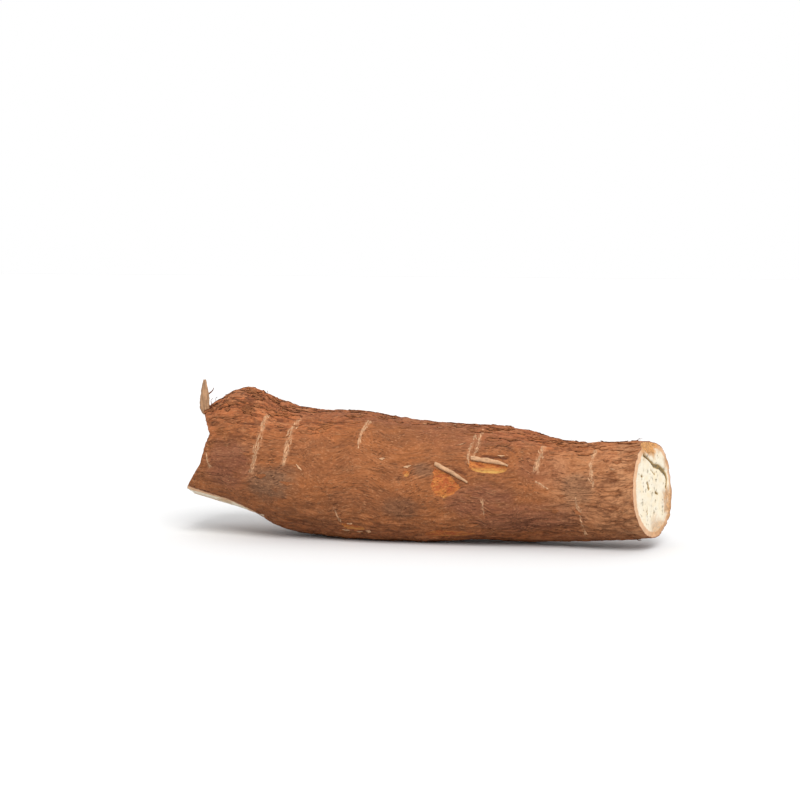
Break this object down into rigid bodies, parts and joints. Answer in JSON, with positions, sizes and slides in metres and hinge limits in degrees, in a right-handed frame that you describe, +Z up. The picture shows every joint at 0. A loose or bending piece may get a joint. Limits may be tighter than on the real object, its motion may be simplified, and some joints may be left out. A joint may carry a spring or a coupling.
{
  "type": "cassava root",
  "caption": "Thick, slightly bent starchy root lying on its side, rough brown bark, one end sawn square to show pale flesh, the other hacked to a slanting point.",
  "frame": {"origin": "middle of the bottom of the root's bounding box, on the surface that the root lies on", "axes": "+X along the root towards the square sawn end, +Z up, +Y to the side away from the face that the sawn end is turned to"},
  "size_m": [0.2554, 0.0696, 0.0812],
  "materials": {
    "bark": "matte, rough, flaking brown root bark",
    "flesh": "matte, moist-looking starchy cut flesh with a thin pinkish cream rind",
    "inner_bark": "matte, dry, fibrous underside of the bark"
  },
  "bodies": {
    "root": {"cassava_root": "bark"}
  },
  "joints": []
}
